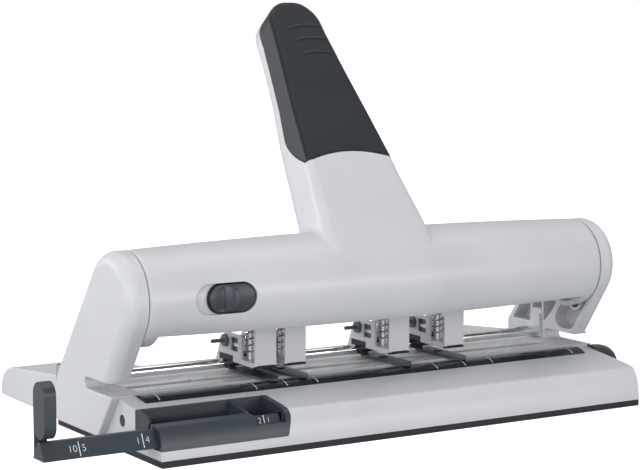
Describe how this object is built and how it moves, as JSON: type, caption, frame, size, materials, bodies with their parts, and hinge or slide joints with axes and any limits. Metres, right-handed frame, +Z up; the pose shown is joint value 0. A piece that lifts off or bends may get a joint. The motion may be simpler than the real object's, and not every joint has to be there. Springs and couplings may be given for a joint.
{
  "type": "hole punch",
  "caption": "Manual long-lever paper punch with sliding heads on a rail, a scale roller, a pull-out paper guide and a storage tray.",
  "frame": {"origin": "on the table under the middle of the footprint of the base and its rear outriggers", "axes": "+X to the operator's right along the barrel, +Y away from the operator, +Z up"},
  "size_m": [0.3844, 0.206, 0.2321],
  "materials": {
    "housing_plastic": "fine-textured light grey moulding",
    "frame_plastic": "fine-textured light grey moulding",
    "rim_plastic": "dark grey moulding",
    "grip_rubber": "soft matt anthracite",
    "tray_plastic": "dark blue-grey moulding",
    "roller_plastic": "glossy, nearly black",
    "black_plastic": "black moulding",
    "knob_plastic": "mid grey moulding",
    "foot_rubber": "black rubber",
    "deck_steel": "satin, almost a mirror",
    "polished_steel": "polished",
    "plain_steel": "drawn or folded steel"
  },
  "bodies": {
    "base": {"base_shell": "housing_plastic", "rear_outriggers": "housing_plastic", "bottom_tray": "rim_plastic", "rubber_feet": "foot_rubber", "left_side_frame": "frame_plastic", "right_side_frame": "frame_plastic", "frame_screws": "plain_steel", "pivot_studs": "plain_steel", "front_deck_strip": "deck_steel", "rear_deck_strip": "deck_steel", "head_rail": "polished_steel", "rail_blocks": "frame_plastic", "storage_tray": "tray_plastic"},
    "lever": {"lever_barrel": "housing_plastic", "grip_pad": "grip_rubber", "press_rod": "polished_steel"},
    "press_yoke": {"press_yoke": "plain_steel"},
    "lock_slider": {"lock_slider": "tray_plastic"},
    "scale_roller": {"scale_roller": "roller_plastic", "roller_knob": "roller_plastic"},
    "paper_guide": {"ruler": "tray_plastic", "paper_stop": "tray_plastic"},
    "head_1": {"head_frame_1": "frame_plastic", "rail_clip_1": "black_plastic", "die_foot_1": "tray_plastic", "stripper_1": "black_plastic", "pin_spring_1": "polished_steel", "release_collar_1": "knob_plastic"},
    "head_2": {"head_frame_2": "frame_plastic", "rail_clip_2": "black_plastic", "die_foot_2": "tray_plastic", "stripper_2": "black_plastic", "pin_spring_2": "polished_steel", "release_collar_2": "knob_plastic"},
    "head_3": {"head_frame_3": "frame_plastic", "rail_clip_3": "black_plastic", "die_foot_3": "tray_plastic", "stripper_3": "black_plastic", "pin_spring_3": "polished_steel", "release_collar_3": "knob_plastic"},
    "head_4": {"head_frame_4": "frame_plastic", "rail_clip_4": "black_plastic", "die_foot_4": "tray_plastic", "stripper_4": "black_plastic", "pin_spring_4": "polished_steel", "release_collar_4": "knob_plastic"},
    "pin_1": {"punch_pin_1": "plain_steel"},
    "pin_2": {"punch_pin_2": "plain_steel"},
    "pin_3": {"punch_pin_3": "plain_steel"},
    "pin_4": {"punch_pin_4": "plain_steel"},
    "release_1": {"release_knob_1": "knob_plastic"},
    "release_2": {"release_knob_2": "knob_plastic"},
    "release_3": {"release_knob_3": "knob_plastic"},
    "release_4": {"release_knob_4": "knob_plastic"}
  },
  "joints": [
    {"name": "lever_turn", "type": "hinge", "parent": "base", "child": "lever", "pos_m": [0, -0.051, 0.0787], "axis": [1, 0, 0], "range_deg": [0, 38], "stiffness_Nm_per_rad": 2, "springref_deg": -5.73},
    {"name": "yoke_press", "type": "slide", "parent": "base", "child": "press_yoke", "axis": [0, 0, -1], "range_m": [0, 0.0105]},
    {"name": "lock_shift", "type": "slide", "parent": "lever", "child": "lock_slider", "axis": [1, 0, 0], "range_m": [-0.0064, 0]},
    {"name": "scale_turn", "type": "hinge", "parent": "base", "child": "scale_roller", "pos_m": [0, -0.058, 0.0166], "axis": [1, 0, 0], "continuous": true},
    {"name": "guide_shift", "type": "slide", "parent": "base", "child": "paper_guide", "axis": [1, 0, 0], "range_m": [0, 0.105]},
    {"name": "head_1_shift", "type": "slide", "parent": "base", "child": "head_1", "axis": [1, 0, 0], "range_m": [-0.045, 0]},
    {"name": "head_2_shift", "type": "slide", "parent": "base", "child": "head_2", "axis": [1, 0, 0], "range_m": [0, 0.024]},
    {"name": "head_3_shift", "type": "slide", "parent": "base", "child": "head_3", "axis": [1, 0, 0], "range_m": [-0.024, 0.009]},
    {"name": "head_4_shift", "type": "slide", "parent": "base", "child": "head_4", "axis": [1, 0, 0], "range_m": [-0.009, 0.05]},
    {"name": "pin_1_press", "type": "slide", "parent": "head_1", "child": "pin_1", "axis": [0, 0, -1], "range_m": [0, 0.0105], "deforming": ["pin_spring_1"]},
    {"name": "pin_2_press", "type": "slide", "parent": "head_2", "child": "pin_2", "axis": [0, 0, -1], "range_m": [0, 0.0105], "deforming": ["pin_spring_2"]},
    {"name": "pin_3_press", "type": "slide", "parent": "head_3", "child": "pin_3", "axis": [0, 0, -1], "range_m": [0, 0.0105], "deforming": ["pin_spring_3"]},
    {"name": "pin_4_press", "type": "slide", "parent": "head_4", "child": "pin_4", "axis": [0, 0, -1], "range_m": [0, 0.0105], "deforming": ["pin_spring_4"]},
    {"name": "release_1_push", "type": "slide", "parent": "head_1", "child": "release_1", "axis": [1, 0, 0], "range_m": [0, 0.002], "stiffness_N_per_m": 150, "springref_m": -0.002},
    {"name": "release_2_push", "type": "slide", "parent": "head_2", "child": "release_2", "axis": [1, 0, 0], "range_m": [0, 0.002], "stiffness_N_per_m": 150, "springref_m": -0.002},
    {"name": "release_3_push", "type": "slide", "parent": "head_3", "child": "release_3", "axis": [1, 0, 0], "range_m": [0, 0.002], "stiffness_N_per_m": 150, "springref_m": -0.002},
    {"name": "release_4_push", "type": "slide", "parent": "head_4", "child": "release_4", "axis": [1, 0, 0], "range_m": [0, 0.002], "stiffness_N_per_m": 150, "springref_m": -0.002}
  ],
  "couplings": [
    {"joint": "yoke_press", "follows": "lever_turn", "m_per_rad": 0.0158},
    {"joint": "pin_1_press", "follows": "lever_turn", "m_per_rad": 0.0158},
    {"joint": "pin_2_press", "follows": "lever_turn", "m_per_rad": 0.0158},
    {"joint": "pin_3_press", "follows": "lever_turn", "m_per_rad": 0.0158},
    {"joint": "pin_4_press", "follows": "lever_turn", "m_per_rad": 0.0158}
  ]
}
